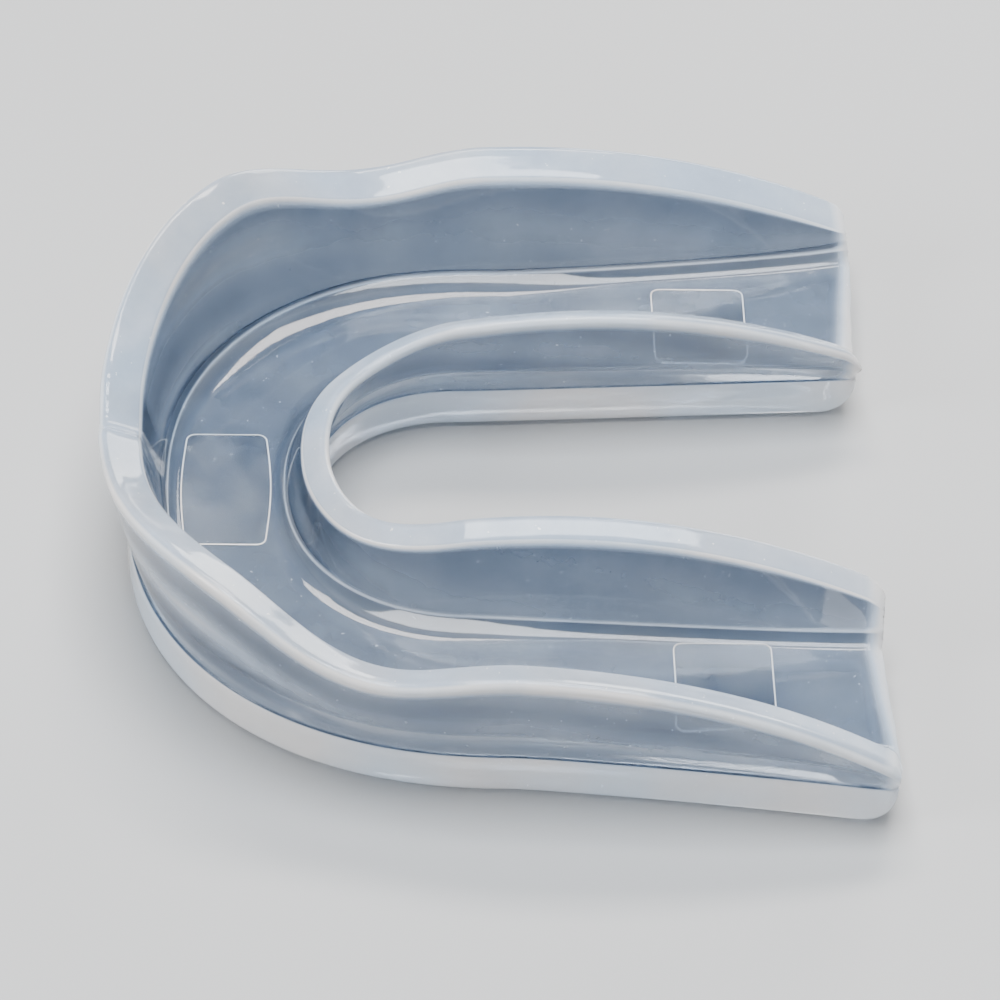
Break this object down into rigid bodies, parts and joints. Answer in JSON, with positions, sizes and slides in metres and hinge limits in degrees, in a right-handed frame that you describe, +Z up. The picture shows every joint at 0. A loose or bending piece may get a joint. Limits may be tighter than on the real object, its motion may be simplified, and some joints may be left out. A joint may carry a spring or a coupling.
{
  "type": "mouthguard",
  "caption": "Clear single-arch mouthguard: a U-shaped EVA tray with a tall notched outer wall, a lower inner wall and thin flush pads in its biting floor.",
  "frame": {"origin": "under the middle of the tray's outline, on the plane that it rests on", "axes": "+Z up out of the channel, -Y towards the front teeth, +X across the mouth towards the right-hand arm"},
  "size_m": [0.0596, 0.0546, 0.0153],
  "materials": {
    "clear_eva": "clear, slightly blue, polished soft EVA",
    "pad_eva": "clear, slightly blue, polished soft EVA"
  },
  "bodies": {
    "root": {"tray": "clear_eva", "front_bite_pad": "pad_eva", "left_bite_pad": "pad_eva", "right_bite_pad": "pad_eva"}
  },
  "joints": []
}
